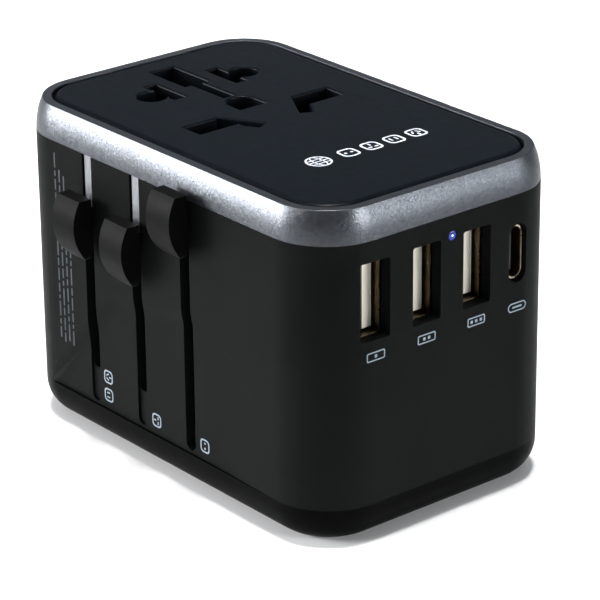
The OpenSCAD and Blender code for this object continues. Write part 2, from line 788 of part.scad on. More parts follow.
// The frame of the USA/AUS pins passes round the UK earth pin, so that both can slide
module us_carriage() {
    z = us_plate_z;
    color([0.24, 0.24, 0.26]) difference() {
        union() {
            for (s = [0, 1]) mirror([0, s, 0]) {
                box([us_x - 4, 3, z], [us_x + 4, 10, z + carriage_t]);
                box([-36.4, 5, z], [us_x, 9, z + carriage_t]);
            }
            box([-36.4, -9, z], [-33.2, 9, z + carriage_t]);
            box([us_x - 3.2, post_y, z], [us_x + 3.2, -9, z + carriage_t]);
            knob_arm(us_x, us_knob_z, z);
        }
        for (s = [-1, 1]) translate([us_x, s * us_spacing / 2, z - over])
            cylinder(r = hub_shaft_r + 0.05, h = carriage_t + 2 * over);
    }
}

// Hub that lets a blade turn between its USA and AUS positions
module us_hub(s) {
    z = us_plate_z;
    color([0.3, 0.3, 0.32]) translate([us_x, s * us_spacing / 2, 0]) difference() {
        union() {
            translate([0, 0, z - 0.1]) cylinder(r = hub_shaft_r, h = carriage_t + 0.2);
            translate([0, 0, z + carriage_t + 0.1]) cylinder(r = hub_r, h = 1.2);
        }
        translate([-1.9, -blade_t / 2, z - over]) cube([3.8, blade_t, carriage_t + over]);
    }
}

module us_blade(s) {
    z = us_plate_z;
    tip = z - floor_t - deck_gap - us_len;
    color(BRASS) translate([us_x, s * us_spacing / 2, 0]) {
        along_y(-blade_t / 2, blade_t / 2) {
            translate([-blade_w / 2, tip + 1]) square([blade_w, z - 0.1 - tip - 1]);
            polygon([[-blade_w / 2, tip + 1], [1 - blade_w / 2, tip], [blade_w / 2 - 1, tip], [blade_w / 2, tip + 1]]);
            translate([-1.9, z - 0.1]) square([3.8, carriage_t + 0.1]);
        }
    }
}

module us_hub_left() us_hub(-1);
module us_hub_right() us_hub(1);
module us_blade_left() us_blade(-1);
module us_blade_right() us_blade(1);

module uk_carriage() {
    z = uk_plate_z;
    color([0.24, 0.24, 0.26]) difference() {
        union() {
            box([uk_x - 3.8, -14.6, z], [uk_x + 3.8, 14.6, z + carriage_t]);
            box([uk_earth_x - 4.8, -2.5, z], [uk_x, 2.5, z + carriage_t]);
            box([uk_x - 3, post_y, z], [uk_x + 3, -14.4, z + carriage_t]);
            knob_arm(uk_x, uk_knob_z, z);
        }
        translate([0, 0, z - over]) linear_extrude(carriage_t) uk_pin_shape(0.5);
    }
}

// Sections of the UK pins' roots, reduced by d on every side
module uk_pin_shape(d) {
    for (s = [-1, 1]) translate([uk_x, s * uk_spacing / 2])
        square([uk_pin_t - 2 * d, uk_pin_w - 2 * d], center = true);
    translate([uk_earth_x, 0]) square([uk_earth_w - 2 * d, uk_pin_t - 2 * d], center = true);
}

// A UK pin with a tapered tip: w along its long side, which lies along Y, or X for the earth pin
module uk_pin(x, y, w, len, along, sleeve) {
    z = uk_plate_z;
    tip = z - floor_t - deck_gap - len;
    neck = sleeve > 0 ? 0.4 : 0;
    color(BRASS) translate([x, y, 0]) rotate(along) {
        intersection() {
            box([-w / 2, -uk_pin_t / 2, tip], [w / 2, uk_pin_t / 2, z - sleeve]);
            along_y(-w, w) polygon([[-w / 2, z], [-w / 2, tip + 1.5], [1 - w / 2, tip],
                [w / 2 - 1, tip], [w / 2, tip + 1.5], [w / 2, z]]);
            along_x(-w, w) polygon([[-uk_pin_t / 2, z], [-uk_pin_t / 2, tip + 1.5], [0.8 - uk_pin_t / 2, tip],
                [uk_pin_t / 2 - 0.8, tip], [uk_pin_t / 2, tip + 1.5], [uk_pin_t / 2, z]]);
        }
        if (sleeve > 0) box([neck - w / 2, neck - uk_pin_t / 2, z - sleeve], [w / 2 - neck, uk_pin_t / 2 - neck, z]);
        box([0.5 - w / 2, 0.5 - uk_pin_t / 2, z], [w / 2 - 0.5, uk_pin_t / 2 - 0.5, z + carriage_t - over]);
    }
}

uk_sleeve_len = 12.4;
module uk_live_pin() uk_pin(uk_x, -uk_spacing / 2, uk_pin_w, uk_len, 90, uk_sleeve_len);
module uk_neutral_pin() uk_pin(uk_x, uk_spacing / 2, uk_pin_w, uk_len, 90, uk_sleeve_len);
module uk_earth_pin() uk_pin(uk_earth_x, 0, uk_earth_w, uk_earth_len, 0, 0);

module uk_pin_sleeves() {
    color(BLACK) for (s = [-1, 1]) translate([uk_x, s * uk_spacing / 2, uk_plate_z - uk_sleeve_len])
        difference() {
            linear_extrude(uk_sleeve_len) square([uk_pin_t, uk_pin_w], center = true);
            translate([0, 0, -over]) linear_extrude(uk_sleeve_len + 2 * over)
                square([uk_pin_t - 0.8, uk_pin_w - 0.8], center = true);
        }
}

// Wipers of the three pin sets: live on the -Y side, neutral on the +Y side
module us_wipers() {
    color(BRASS) {
        mirror([0, 1, 0]) wiper(us_x + 2, uk_x - 4.6, 15.2, us_plate_z);
        wiper(us_x - 2, us_x + 1, 10, us_plate_z);
    }
}

module uk_wipers() {
    color(BRASS) {
        mirror([0, 1, 0]) wiper(uk_x + 2.1, uk_x + 6, 15.2, uk_plate_z);
        wiper(uk_x - 1.5, uk_x + 1.5, 14.6, uk_plate_z);
    }
}

module eu_wipers() {
    color(BRASS) {
        mirror([0, 1, 0]) wiper(eu_x - 6, eu_x - 2.1, 15.2, eu_plate_z);
        wiper(eu_x - 1.5, eu_x + 1.5, 13, eu_plate_z);
    }
}

module eu_carriage() {
    z = eu_plate_z;
    color([0.24, 0.24, 0.26]) difference() {
        union() {
            box([eu_x - 3.6, post_y, z], [eu_x + 3.6, 13, z + carriage_t]);
            knob_arm(eu_x, eu_knob_z, z);
        }
        for (s = [-1, 1]) translate([eu_x, s * eu_spacing / 2, z - over])
            cylinder(d = eu_pin_d - 1, h = carriage_t);
    }
}

eu_sleeve_len = 13.2;
module eu_pins() {
    z = eu_plate_z;
    tip = z - floor_t - deck_gap - eu_len;
    r = eu_pin_d / 2;
    color(BRASS) for (s = [-1, 1]) translate([eu_x, s * eu_spacing / 2, 0]) {
        translate([0, 0, tip + r]) sphere(r);
        translate([0, 0, tip + r]) cylinder(r = r, h = z - eu_sleeve_len - tip - r);
        translate([0, 0, z - eu_sleeve_len]) cylinder(r = r - 0.5, h = eu_sleeve_len + carriage_t - over);
    }
}

module eu_pin_sleeves() {
    color(BLACK) for (s = [-1, 1])
        translate([eu_x, s * eu_spacing / 2, eu_plate_z - eu_sleeve_len]) difference() {
            cylinder(d = eu_pin_d - 0.2, h = eu_sleeve_len);
            translate([0, 0, -over]) cylinder(d = eu_pin_d - 1, h = eu_sleeve_len + 2 * over);
        }
}

// ---------------------------------------------------------------- nodes

outer_sleeve();
base_cover();
trim_ring();
socket_plate();
guide_frame();
contact_holder();
live_contacts();
neutral_contacts();
earth_contacts();
live_rail();
neutral_rail();
fuse_door();
fuse_tube();
fuse_caps();
fuse_clips();
case_screws();
power_board();
port_board();
transformer_core();
transformer_winding();
mains_capacitor();
output_capacitors();
choke();
heat_sink();
control_chips();
usb_a_shell_1();
usb_a_shell_2();
usb_a_shell_3();
usb_a_tongue_1();
usb_a_tongue_2();
usb_a_tongue_3();
usb_c_shell();
usb_c_tongue();
light_pipe();
led_chip();
safety_shutter();
shutter_spring();
us_carriage();
us_wipers();
us_hub_left();
us_hub_right();
us_blade_left();
us_blade_right();
us_knob();
us_knob_spring();
uk_carriage();
uk_wipers();
uk_live_pin();
uk_neutral_pin();
uk_earth_pin();
uk_pin_sleeves();
uk_knob();
uk_knob_spring();
eu_carriage();
eu_wipers();
eu_pins();
eu_pin_sleeves();
eu_knob();
eu_knob_spring();
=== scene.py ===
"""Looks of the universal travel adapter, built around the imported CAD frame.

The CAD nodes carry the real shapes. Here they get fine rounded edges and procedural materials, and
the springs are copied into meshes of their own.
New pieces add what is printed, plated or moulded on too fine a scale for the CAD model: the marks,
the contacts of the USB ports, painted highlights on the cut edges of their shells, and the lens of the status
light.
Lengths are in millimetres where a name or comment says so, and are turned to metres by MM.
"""
import json
import math

import bmesh
import bpy
from mathutils import Matrix, Vector


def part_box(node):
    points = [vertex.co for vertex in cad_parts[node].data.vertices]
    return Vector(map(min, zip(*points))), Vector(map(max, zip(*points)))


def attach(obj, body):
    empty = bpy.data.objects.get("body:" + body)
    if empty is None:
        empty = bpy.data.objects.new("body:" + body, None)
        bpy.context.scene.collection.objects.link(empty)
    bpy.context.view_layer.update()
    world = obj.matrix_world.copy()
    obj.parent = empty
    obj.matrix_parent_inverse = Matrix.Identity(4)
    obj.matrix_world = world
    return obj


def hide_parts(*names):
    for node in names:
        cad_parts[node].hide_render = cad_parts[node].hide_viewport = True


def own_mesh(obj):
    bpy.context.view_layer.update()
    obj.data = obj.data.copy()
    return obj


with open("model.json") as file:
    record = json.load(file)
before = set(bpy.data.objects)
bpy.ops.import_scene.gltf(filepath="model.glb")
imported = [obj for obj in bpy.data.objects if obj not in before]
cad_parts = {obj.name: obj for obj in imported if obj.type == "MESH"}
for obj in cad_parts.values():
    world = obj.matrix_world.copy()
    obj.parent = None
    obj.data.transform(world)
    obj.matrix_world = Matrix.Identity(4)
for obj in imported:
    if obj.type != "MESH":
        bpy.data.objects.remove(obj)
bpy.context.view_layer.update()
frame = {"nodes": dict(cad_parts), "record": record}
MM = 0.001
NODES = frame["nodes"]
NODE_SLOT = {s["node"]: s["material_slot"] for s in frame["record"]["subparts"]}
NODE_BODY = {node: body for body, nodes in frame["record"]["behaviour"]["bodies"].items() for node in nodes}
USB_A_SHELLS = ("usb_a_shell_1", "usb_a_shell_2", "usb_a_shell_3")
USB_C_SHELL = "usb_c_shell"


def box_mm(node):
    """Lowest and highest corners of a CAD node, in millimetres."""
    low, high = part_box(node)
    return low / MM, high / MM


sleeve_low, sleeve_high = box_mm("outer_sleeve")
FRONT_Y = sleeve_low.y
END_X = sleeve_high.x
PLATE_Z = box_mm("socket_plate")[1].z

# Thickness of a layer of print, in millimetres
PRINT = 0.015


# ------------------------------------------------------------------ node helpers

class Nodes:
    """A material's node tree, with short calls for the nodes used here."""

    def __init__(self, name):
        self.material = bpy.data.materials.new(name)
        self.material.use_nodes = True
        self.tree = self.material.node_tree
        self.shader = self.tree.nodes["Principled BSDF"]
        self.place = self.add("ShaderNodeTexCoord").outputs["Object"]

    def add(self, kind, **settings):
        node = self.tree.nodes.new(kind)
        for key, value in settings.items():
            setattr(node, key, value)
        return node

    def link(self, source, target):
        self.tree.links.new(source, target)

    def noise(self, size_mm, detail=3.0, roughness=0.5):
        """Noise whose blotches are about size_mm across."""
        node = self.add("ShaderNodeTexNoise")
        self.link(self.place, node.inputs["Vector"])
        node.inputs["Scale"].default_value = 1 / (size_mm * MM)
        node.inputs["Detail"].default_value = detail
        node.inputs["Roughness"].default_value = roughness
        return node.outputs["Fac"]

    def cells(self, size_mm):
        """Random colour for each cell of about size_mm."""
        node = self.add("ShaderNodeTexVoronoi")
        self.link(self.place, node.inputs["Vector"])
        node.inputs["Scale"].default_value = 1 / (size_mm * MM)
        return node.outputs["Color"]

    def spread(self, value, low, high, source=(0.3, 0.7)):
        """Maps the source span of a value to low..high."""
        node = self.add("ShaderNodeMapRange")
        self.link(value, node.inputs["Value"])
        for socket, number in zip(("From Min", "From Max", "To Min", "To Max"), (*source, low, high)):
            node.inputs[socket].default_value = number
        return node.outputs["Result"]

    def blend(self, value, colour_a, colour_b):
        """Colour between two colours."""
        node = self.add("ShaderNodeMix", data_type="RGBA")
        self.link(value, node.inputs["Factor"])
        node.inputs[6].default_value = (*colour_a, 1)
        node.inputs[7].default_value = (*colour_b, 1)
        return node.outputs[2]

    def sum(self, *weighted):
        """Weighted sum of values."""
        total = None
        for value, weight in weighted:
            node = self.add("ShaderNodeMath", operation="MULTIPLY_ADD")
            self.link(value, node.inputs[0])
            node.inputs[1].default_value = weight
            if total is None:
                node.inputs[2].default_value = 0
            else:
                self.link(total, node.inputs[2])
            total = node.outputs[0]
        return total

    def vector(self, operation, *values):
        """Vector maths on sockets or on numbers that stand for all three axes."""
        node = self.add("ShaderNodeVectorMath", operation=operation)
        for value, target in zip(values, node.inputs):
            if isinstance(value, bpy.types.NodeSocket):
                self.link(value, target)
            else:
                target.default_value = (value,) * 3
        return node.outputs[0]

    def bump(self, height, depth_mm, normal=None):
        node = self.add("ShaderNodeBump")
        self.link(height, node.inputs["Height"])
        node.inputs["Distance"].default_value = depth_mm * MM
        node.inputs["Strength"].default_value = 1
        if normal is not None:
            self.link(normal, node.inputs["Normal"])
        self.link(node.outputs["Normal"], self.shader.inputs["Normal"])

    def colour(self, source):
        self.link(source, self.shader.inputs["Base Color"])

    def roughness(self, source):
        self.link(source, self.shader.inputs["Roughness"])

    def fixed(self, **values):
        """Constants, set on the shader's own sockets."""
        for key, value in values.items():
            self.shader.inputs[key.replace("_", " ")].default_value = value


# ------------------------------------------------------------------ materials

def moulded(name, dark, light, rough, grain_mm, depth_mm, specular):
    """Moulded plastic or print: a spark-eroded grain, faint flow blotches and uneven gloss."""
    flow_mm, wear_mm = 9, 1.6
    m = Nodes(name)
    grain = m.noise(grain_mm, detail=4, roughness=0.65)
    flow = m.noise(flow_mm, detail=2)
    wear = m.noise(wear_mm, detail=5, roughness=0.6)
    m.colour(m.blend(m.sum((m.spread(flow, 0, 1), 0.6), (m.spread(grain, 0, 1), 0.4)), dark, light))
    m.roughness(m.sum((m.spread(wear, rough - 0.05, rough + 0.06), 0.6),
                      (m.spread(flow, rough, rough + 0.05), 0.4)))
    m.bump(m.sum((grain, 1.0), (wear, 0.6)), depth_mm)
    m.fixed(Specular_IOR_Level=specular)
    return m.material


def flake_paint(name, dark, light, rough):
    """Silver paint: tiny flakes that lie at slightly different angles, under soft mottling."""
    m = Nodes(name)
    flake = m.cells(0.1)
    fine_flake = m.cells(0.05)
    mottle = m.noise(0.8, detail=4, roughness=0.7)
    part = m.add("ShaderNodeSeparateColor")
    m.link(flake, part.inputs[0])
    m.colour(m.blend(m.sum((part.outputs[0], 0.55), (m.spread(mottle, 0, 1), 0.45)), dark, light))
    tilts = [m.vector("MULTIPLY_ADD", cells, lean, -lean / 2)
             for cells, lean in ((flake, 0.16), (fine_flake, 0.1))]
    normal = m.add("ShaderNodeNewGeometry").outputs["Normal"]
    leaning = m.vector("ADD", normal, m.vector("ADD", *tilts))
    m.bump(mottle, 0.0008, normal=m.vector("NORMALIZE", leaning))
    m.roughness(m.spread(mottle, rough - 0.04, rough + 0.06))
    m.fixed(Metallic=0.85, Specular_IOR_Level=0.5)
    return m.material


def plated(name, dark, light, rough, grain_mm=0.25, depth_mm=0.002):
    """Drawn or plated metal: faint tarnish and a fine rolled grain."""
    m = Nodes(name)
    tarnish = m.noise(2.2, detail=4, roughness=0.6)
    m.colour(m.blend(m.spread(tarnish, 0, 1), dark, light))
    m.roughness(m.spread(tarnish, rough - 0.06, rough + 0.1))
    m.bump(m.noise(grain_mm), depth_mm)
    m.fixed(Metallic=1.0)
    return m.material


def circuit_board(name):
    """Green solder mask with lighter tracks."""
    track_mm = 6
    m = Nodes(name)
    tracks = m.add("ShaderNodeTexBrick")
    m.link(m.place, tracks.inputs["Vector"])
    tracks.inputs["Scale"].default_value = 1 / (track_mm * MM)
    tracks.inputs["Mortar Size"].default_value = 0.04
    tracks.inputs["Color1"].default_value = (0.012, 0.09, 0.045, 1)
    tracks.inputs["Color2"].default_value = (0.016, 0.11, 0.055, 1)
    tracks.inputs["Mortar"].default_value = (0.03, 0.17, 0.08, 1)
    m.colour(tracks.outputs["Color"])
    m.bump(m.noise(0.5), 0.004)
    m.fixed(Roughness=0.35)
    return m.material


def glow(name, dark, light, strength):
    """Lit diffuser, slightly cloudy."""
    m = Nodes(name)
    tone = m.blend(m.spread(m.noise(0.4), 0, 1), dark, light)
    m.colour(tone)
    m.link(tone, m.shader.inputs["Emission Color"])
    m.fixed(Emission_Strength=strength, Roughness=0.25)
    return m.material


# Plastics and inks: dark tone, light tone, roughness, grain and its depth in millimetres, specular level
BLACK = moulded("moulded_black", (0.0041, 0.0046, 0.0042), (0.0061, 0.0067, 0.0063), 0.46, 0.22, 0.004, 0.024)
# Darker copy of the black plastic for the base cover and fuse door: painted shade where the base rounds
# under, away from the lamps
BLACK_PAINTED_SHADE = moulded("moulded_black_painted_shade", (0.0009, 0.0011, 0.0009), (0.0014, 0.0016, 0.0014),
                     0.36, 0.22, 0.004, 0.016)
KNOB = moulded("moulded_knob", (0.0024, 0.0025, 0.0024), (0.004, 0.0041, 0.004), 0.5, 0.18, 0.005, 0.04)
SATIN = moulded("satin_plate", (0.0028, 0.0042, 0.006), (0.0036, 0.0052, 0.0075), 0.32, 0.3, 0.003, 0.06)
INNER = moulded("inner_black", (0.002, 0.002, 0.002), (0.0035, 0.0035, 0.0035), 0.6, 0.3, 0.01, 0.08)
CREAM = moulded("cream_plastic", (0.76, 0.72, 0.6), (0.84, 0.8, 0.7), 0.45, 0.25, 0.003, 0.4)
DARK = moulded("component_plastic", (0.02, 0.02, 0.022), (0.035, 0.035, 0.04), 0.45, 0.25, 0.005, 0.4)
INK = moulded("print_ink", (0.22, 0.28, 0.33), (0.3, 0.36, 0.42), 0.55, 0.08, 0.002, 0.3)
FAINT_INK = moulded("rating_ink", (0.03, 0.036, 0.04), (0.07, 0.08, 0.088), 0.6, 0.3, 0.002, 0.1)
EMBLEM = moulded("emblem_ink", (0.62, 0.66, 0.72), (0.78, 0.82, 0.88), 0.5, 0.08, 0.002, 0.3)

# Metals: dark tone, light tone, roughness, and for some the grain and its depth in millimetres
SILVER = flake_paint("silver_paint", (0.055, 0.06, 0.068), (0.105, 0.112, 0.124), 0.32)
# Lighter copy of the silver paint for the trim ring's tongues in the slots: painted light
SILVER_PAINTED_LIGHT = flake_paint("tongue_silver_painted_light", (0.24, 0.25, 0.27), (0.34, 0.35, 0.375), 0.34)
BRASS = plated("brass", (0.55, 0.38, 0.14), (0.68, 0.5, 0.22), 0.3)
NICKEL = plated("nickel", (0.3, 0.24, 0.16), (0.42, 0.35, 0.26), 0.3, 1.5, 0.0006)
# Port shells: plating darkened to brown, which is painted shade inside the ports
SHELL_PAINTED_SHADE = plated("port_shell", (0.1, 0.07, 0.036), (0.2, 0.145, 0.08), 0.34, 2.0, 0.0004)
# Port rims: bright plating, a painted highlight on the shells' cut edges
RIM_PAINTED_HIGHLIGHT = plated("port_rim", (0.6, 0.5, 0.36), (0.72, 0.62, 0.48), 0.3, 2.0, 0.0004)
ALUMINIUM = plated("aluminium", (0.55, 0.56, 0.58), (0.68, 0.69, 0.7), 0.4)
GOLD = plated("contact_gold", (0.75, 0.52, 0.18), (0.85, 0.62, 0.26), 0.25)
COPPER = plated("copper_wire", (0.5, 0.2, 0.07), (0.66, 0.3, 0.12), 0.35)

BOARD = circuit_board("circuit_board")
LIGHT = glow("status_light", (0.35, 0.5, 1.0), (0.6, 0.75, 1.0), 2.0)
LENS = glow("status_lens", (0.006, 0.012, 0.12), (0.02, 0.05, 0.4), 0.2)

# The record's material slot decides a CAD node's material, unless the node has its own
SLOT_LOOK = {
    "housing_black": BLACK, "plate_satin": SATIN, "trim_silver": SILVER, "inner_grey": INNER,
    "cream_plastic": CREAM, "contact_brass": BRASS, "nickel": NICKEL, "heat_sink": ALUMINIUM,
    "board_green": BOARD, "component_dark": DARK, "copper_wire": COPPER, "light_blue": LENS,
}
NODE_LOOK = {
    # The ports' metal shells take the darkened plating, painted shade inside the ports
    **dict.fromkeys((*USB_A_SHELLS, USB_C_SHELL), SHELL_PAINTED_SHADE),
    **dict.fromkeys(("us_knob", "uk_knob", "eu_knob"), KNOB),
    # The base cover and fuse door take the darker copy of the black plastic, which is painted shade
    "usb_c_tongue": DARK, "base_cover": BLACK_PAINTED_SHADE, "fuse_door": BLACK_PAINTED_SHADE,
}


# ------------------------------------------------------------------ CAD nodes

def dress_nodes():
    """Gives every CAD node its material."""
    for name, o in NODES.items():
        o.data.materials.clear()
        o.data.materials.append(NODE_LOOK.get(name, SLOT_LOOK[NODE_SLOT[name]]))


def mesh_object(name, bm, material):
    """Object with the mesh built in bm, which is freed."""
    mesh = bpy.data.meshes.new(name)
    bm.to_mesh(mesh)
    bm.free()
    mesh.materials.append(material)
    o = bpy.data.objects.new(name, mesh)
    bpy.context.collection.objects.link(o)
    return o


def corner_angle(edge):
    """Angle between an edge's two faces, in degrees: positive on an outer edge, negative on an inner one."""
    if len(edge.link_faces) != 2:
        return 0.0
    return math.degrees(edge.calc_face_angle_signed(0.0))


def even_normals(mesh):
    """Corner normals that keep the large faces flat and turn only across the narrow ones between them."""
    widest_turn = 50
    faces_at = [[] for _ in mesh.vertices]
    for face in mesh.polygons:
        for v in face.vertices:
            faces_at[v].append((face.normal.copy(), (face.area / MM ** 2) ** 3))
    least = math.cos(math.radians(widest_turn))
    normals = []
    for face in mesh.polygons:
        own = face.normal.copy()
        for v in face.vertices:
            total = sum((n * weight for n, weight in faces_at[v] if n.dot(own) > least), Vector())
            normals.append(total.normalized() if total.length > 0 else own)
    mesh.polygons.foreach_set("use_smooth", [True] * len(mesh.polygons))
    mesh.normals_split_custom_set(normals)


def rounded_copy(node, rounds=()):
    """Rebuilds a CAD node as a new mesh with rounded edges, and shows it in the node's place.

    rounds holds (test, radius_mm, segments, least_angle). The test takes an edge's middle in
    millimetres, its direction and its angle. An edge sharper than least_angle that passes the test
    gets the radius, and one that has already been rounded is left alone. Small radii are clamped
    where the mesh has no room for them; large ones lie where there is room, and are not.
    """
    same_point, flat_degrees, large_radius = 2e-6, 0.3, 0.3
    source = NODES[node]
    bm = bmesh.new()
    bm.from_mesh(source.data)
    bmesh.ops.remove_doubles(bm, verts=bm.verts, dist=same_point)
    bmesh.ops.dissolve_limit(bm, angle_limit=math.radians(flat_degrees), verts=bm.verts, edges=bm.edges,
                             use_dissolve_boundaries=False)
    for edge in bm.edges:
        edge.tag = False
    for test, radius, segments, least in rounds:
        chosen = []
        for edge in bm.edges:
            angle = corner_angle(edge)
            if abs(angle) < least or edge.tag:
                continue
            middle = (edge.verts[0].co + edge.verts[1].co) / 2 / MM
            along = (edge.verts[1].co - edge.verts[0].co).normalized()
            if test(middle, along, angle):
                chosen.append(edge)
        if chosen:
            made = bmesh.ops.bevel(bm, geom=chosen, offset=radius * MM, offset_type="OFFSET",
                                   segments=segments, profile=0.5, affect="EDGES",
                                   clamp_overlap=radius < large_radius)
            for face in made["faces"]:
                for edge in face.edges:
                    edge.tag = True
    o = mesh_object(f"{node}_skin", bm, source.data.materials[0])
    even_normals(o.data)
    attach(o, NODE_BODY[node])
    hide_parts(node)
    return o


def outer_edge(middle, along, angle):
    return angle > 0


def plate_mouth(middle, along, angle):
    """Upper edges of the socket plate's openings."""
    near, sharp = 0.01, 60
    return middle.z > PLATE_Z - near and angle > sharp


def step_bank(middle, along, angle):
    """Gentle edges of the arched step low on the slider face, apart from upright ones."""
    face_depth, top_z, last_x, gentle = 0.6, 40, 8, 20
    in_face = middle.y < FRONT_Y + face_depth and middle.z < top_z and middle.x < last_x
    return in_face and abs(angle) < gentle and abs(along.y) < 0.1 and abs(along.z) < 0.85


def round_cad_pieces():
    """Fine edge radii, as moulding and stamping leave them."""
    rounded_copy("socket_plate", [(plate_mouth, 0.4, 3, 60)])
    rounded_copy("outer_sleeve", [(step_bank, 0.7, 3, 5), (outer_edge, 0.12, 2, 20)])
    rounded_copy("base_cover", [(outer_edge, 0.12, 2, 20)])
    trim = rounded_copy("trim_ring", [(outer_edge, 0.16, 2, 20)])
    # Faces below the sleeve's top, the tongues that hang into the slots, get the lighter copy of the silver
    # paint: painted light
    trim.data.materials.append(SILVER_PAINTED_LIGHT)
    for p in trim.data.polygons:
        p.material_index = int(p.center.z / MM < sleeve_high.z - 0.1)
    for knob in ("us_knob", "uk_knob", "eu_knob"):
        rounded_copy(knob, [(outer_edge, 0.22, 3, 20)])
    for node in ("us_blade_left", "us_blade_right", "uk_live_pin", "uk_neutral_pin", "uk_earth_pin",
                 "fuse_door"):
        rounded_copy(node, [(outer_edge, 0.12, 2, 20)])


def springs():
    """Coil springs, rebuilt as meshes of their own in the CAD nodes' places; the joint, axis and travel
    listed for each are not used.
    """
    press, slide = 1.0, 9.5
    for node, joint, axis, travel in (("us_knob_spring", "us_press", (0, 1, 0), press),
                                      ("uk_knob_spring", "uk_press", (0, 1, 0), press),
                                      ("eu_knob_spring", "eu_press", (0, 1, 0), press),
                                      ("shutter_spring", "shutter_slide", (1, 0, 0), slide)):
        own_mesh(rounded_copy(node))


# ------------------------------------------------------------------ new pieces

def new_piece(name, bm, material, smooth=False):
    """Piece of the housing."""
    o = mesh_object(name, bm, material)
    for p in o.data.polygons:
        p.use_smooth = smooth
    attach(o, "housing")


def outline_round(width, height, radius, steps=5):
    """Points of a rectangle with round corners, centred, anticlockwise."""
    points = []
    for k, (sx, sy) in enumerate(((1, 1), (-1, 1), (-1, -1), (1, -1))):
        for i in range(steps + 1):
            a = math.radians(90 * (k + i / steps))
            points.append((sx * (width / 2 - radius) + radius * math.cos(a),
                           sy * (height / 2 - radius) + radius * math.sin(a)))
    return points


def outline_circle(radius, steps=32):
    return [(radius * math.cos(2 * math.pi * i / steps), radius * math.sin(2 * math.pi * i / steps))
            for i in range(steps)]


def shifted(points, x, y, turn=0.0):
    """The points turned about the origin, then moved."""
    c, s = math.cos(turn), math.sin(turn)
    return [(x + c * p[0] - s * p[1], y + s * p[0] + c * p[1]) for p in points]


def ring_strip(bm, outer, inner, to_space, thick_mm=PRINT):
    """Flat raised ring between two outlines with the same number of points."""
    n = len(outer)
    rows = [[bm.verts.new(to_space(*p, z)) for p in line] for line, z in
            ((outer, 0.0), (outer, thick_mm), (inner, thick_mm), (inner, 0.0))]
    for a, b in zip(rows, rows[1:]):
        for i in range(n):
            j = (i + 1) % n
            bm.faces.new((a[i], a[j], b[j], b[i]))


def patch(bm, outline, to_space, thick_mm=PRINT):
    """Thin raised patch with the given outline."""
    low = [bm.verts.new(to_space(*p, 0.0)) for p in outline]
    high = [bm.verts.new(to_space(*p, thick_mm)) for p in outline]
    bm.faces.new(high)
    n = len(outline)
    for i in range(n):
        j = (i + 1) % n
        bm.faces.new((low[i], low[j], high[j], high[i]))


def recess_depth(x, z):
    """Depth of the slider face's arched step, well inside its edge: it fades out along X."""
    depth, fade_from, fade_to = 0.45, 9, 28
    inside = z < 21 and x > -20
    return depth * min(1.0, (fade_to - x) / (fade_to - fade_from)) if inside else 0.0


def on_front(x0, z0):
    """Space of print on the slider face. The print reads upwards: its own X runs along +Z."""
    def place(u, v, lift):
        x, z = x0 - v, z0 + u
        return Vector((x, FRONT_Y + recess_depth(x, z) - lift, z)) * MM
    return place


def on_end(y0, z0, x0=END_X):
    """Space on the USB face, or on one parallel to it: its own X runs along +Y."""
    def place(u, v, lift):
        return Vector((x0 + lift, y0 + u, z0 + v)) * MM
    return place


def on_tongue(x0, y0, z0):
    """Space on the side of a USB tongue that looks along -Y: its own X runs along +X."""
    def place(u, v, lift):
        return Vector((x0 + u, y0 - lift, z0 + v)) * MM
    return place


def on_plate(x0, y0):
    """Space of print on the socket plate: its own X runs along +Y, and its own Y along -X."""
    def place(u, v, lift):
        return Vector((x0 - v, y0 + u, PLATE_Z + lift)) * MM
    return place


# Pins of each plug as width, height, x, y and turn, in shares of the pictogram's size
PIN_MARKS = {
    "us": [(0.1, 0.34, -0.17, 0.04, 0), (0.1, 0.34, 0.17, 0.04, 0)],
    "uk": [(0.11, 0.26, 0.0, 0.19, 0), (0.24, 0.11, -0.19, -0.15, 0), (0.24, 0.11, 0.19, -0.15, 0)],
    "au": [(0.1, 0.32, -0.17, 0.09, -0.5), (0.1, 0.32, 0.17, 0.09, 0.5), (0.1, 0.28, 0.0, -0.21, 0)],
}


def pin_face(bm, kind, size, to_space):
    """Pictogram of a plug's pins inside a round-cornered frame of the given size."""
    hole = size - 2 * 0.11 * size
    ring_strip(bm, outline_round(size, size, 0.3 * size), outline_round(hole, hole, 0.22 * size), to_space)
    if kind == "eu":
        for side in (-1, 1):
            patch(bm, shifted(outline_circle(0.085 * size, 16), side * 0.19 * size, 0), to_space)
    else:
        for w, h, x, y, turn in PIN_MARKS[kind]:
            pin = outline_round(w * size, h * size, 0.03 * size, 2)
            patch(bm, shifted(pin, x * size, y * size, turn), to_space)


def slot_marks():
    """Pictograms beside the lower ends of the slots, in place of words."""
    size, lower_z, upper_z = 2.3, 9.0, 12.2
    for kind, across in (("us", 3.3), ("uk", 3.6), ("eu", 3.6)):
        low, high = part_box(f"{kind}_knob")
        x = (low.x + high.x) / 2 / MM + across
        bm = bmesh.new()
        pin_face(bm, kind, size, on_front(x, lower_z))
        if kind == "us":
            pin_face(bm, "au", size, on_front(x, upper_z))
        new_piece(f"slot_mark_{kind}", bm, INK)


def port_marks():
    """A dot pattern under each port, in place of words."""
    mark_z, dot_pitch = 31.0, 0.95
    for count, node in ((1, USB_A_SHELLS[0]), (2, USB_A_SHELLS[1]), (3, USB_A_SHELLS[2]), (0, USB_C_SHELL)):
        low, high = box_mm(node)
        place = on_end((low.y + high.y) / 2, mark_z)
        bm = bmesh.new()
        if count:
            ring_strip(bm, outline_round(3.6, 1.5, 0.3), outline_round(3.2, 1.1, 0.12), place)
            for i in range(count):
                dot = outline_round(0.5, 0.5, 0.1, 2)
                patch(bm, shifted(dot, dot_pitch * (i - (count - 1) / 2), 0), place)
        else:
            ring_strip(bm, outline_round(3.8, 1.5, 0.74), outline_round(3.4, 1.1, 0.54), place)
            patch(bm, outline_round(2.0, 0.3, 0.14, 3), place)
        new_piece(f"port_mark_{count}", bm, INK)


